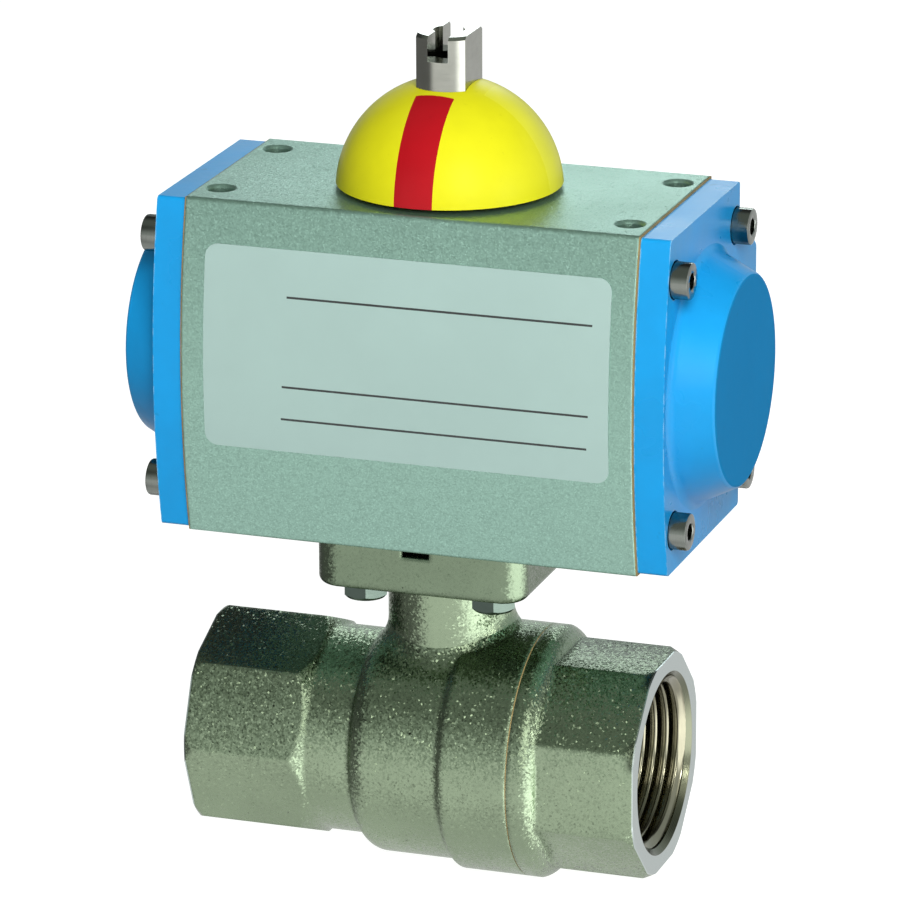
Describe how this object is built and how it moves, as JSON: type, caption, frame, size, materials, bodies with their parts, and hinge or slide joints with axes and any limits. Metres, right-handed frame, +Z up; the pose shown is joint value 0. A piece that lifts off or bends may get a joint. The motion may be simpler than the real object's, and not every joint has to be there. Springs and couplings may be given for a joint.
{
  "type": "rotary pneumatic actuator",
  "caption": "Double-acting rack-and-pinion rotary pneumatic actuator with a domed position indicator, flange-bolted on a threaded ball valve.",
  "frame": {"origin": "centre of the accessory hole pattern on the actuator's flat top face, on the pinion's axis", "axes": "+Z up along the pinion, +X along the pipe and the piston bore towards the screwed-in end connector, -Y to the front (the swollen face with the label)"},
  "size_m": [0.116, 0.0607, 0.1643],
  "materials": {
    "anodised_housing": "satin grey-green anodised extrusion",
    "cap_enamel": "glossy blue enamel on die-cast metal",
    "gasket_fibre": "tan fibre gasket",
    "screw_steel": "bright stainless steel with a knurled head",
    "bolt_steel": "zinc-plated steel",
    "piston_metal": "machined die-cast",
    "seal_rubber": "black nitrile",
    "slide_plastic": "off-white acetal",
    "pinion_steel": "nickel-plated turned steel",
    "spring_steel": "phosphated spring steel",
    "dome_yellow": "moulded yellow plastic, semi-gloss",
    "stripe_red": "red inlay",
    "stripe_pale": "pale yellow inlay",
    "valve_nickel": "hot-pressed brass, shot-blasted and nickel-plated",
    "ball_chrome": "polished hard chrome",
    "seat_white": "white fluoropolymer",
    "stem_brass": "turned and nickel-plated",
    "joint_sealant": "cured thread sealant",
    "label_film": "printed foil label, blank"
  },
  "bodies": {
    "housing": {"housing_body": "anodised_housing", "end_cap_left": "cap_enamel", "end_cap_right": "cap_enamel", "cap_gasket_left": "gasket_fibre", "cap_gasket_right": "gasket_fibre", "cap_screws_left": "screw_steel", "cap_screws_right": "screw_steel", "pinion_bush_upper": "slide_plastic", "pinion_bush_lower": "slide_plastic", "thrust_washer": "slide_plastic", "label": "label_film", "valve_body": "valve_nickel", "end_connector": "valve_nickel", "connector_seal": "joint_sealant", "seat_left": "seat_white", "seat_right": "seat_white", "stem_thrust_ring": "seat_white", "flange_bolts": "bolt_steel"},
    "drive_train": {"pinion": "pinion_steel", "pinion_seal_upper": "seal_rubber", "pinion_seal_lower": "seal_rubber", "circlip": "spring_steel", "indicator_dome": "dome_yellow", "indicator_stripes_red": "stripe_red", "indicator_stripes_pale": "stripe_pale", "ball": "ball_chrome", "stem": "stem_brass", "stem_o_rings": "seal_rubber"},
    "left_piston": {"piston_left": "piston_metal", "piston_seal_left": "seal_rubber", "guide_band_left": "slide_plastic", "rack_pad_left": "slide_plastic"},
    "right_piston": {"piston_right": "piston_metal", "piston_seal_right": "seal_rubber", "guide_band_right": "slide_plastic", "rack_pad_right": "slide_plastic"}
  },
  "joints": [
    {"name": "pinion_turn", "type": "hinge", "parent": "housing", "child": "drive_train", "pos_m": [0, 0, 0], "axis": [0, 0, 1], "range_deg": [0, 90]},
    {"name": "left_piston_slide", "type": "slide", "parent": "housing", "child": "left_piston", "axis": [-1, 0, 0], "range_m": [0, 0.01257]},
    {"name": "right_piston_slide", "type": "slide", "parent": "housing", "child": "right_piston", "axis": [1, 0, 0], "range_m": [0, 0.0126]}
  ],
  "couplings": [
    {"joint": "pinion_turn", "follows": "left_piston_slide", "rad_per_m": 125},
    {"joint": "right_piston_slide", "follows": "left_piston_slide", "ratio": 1}
  ]
}
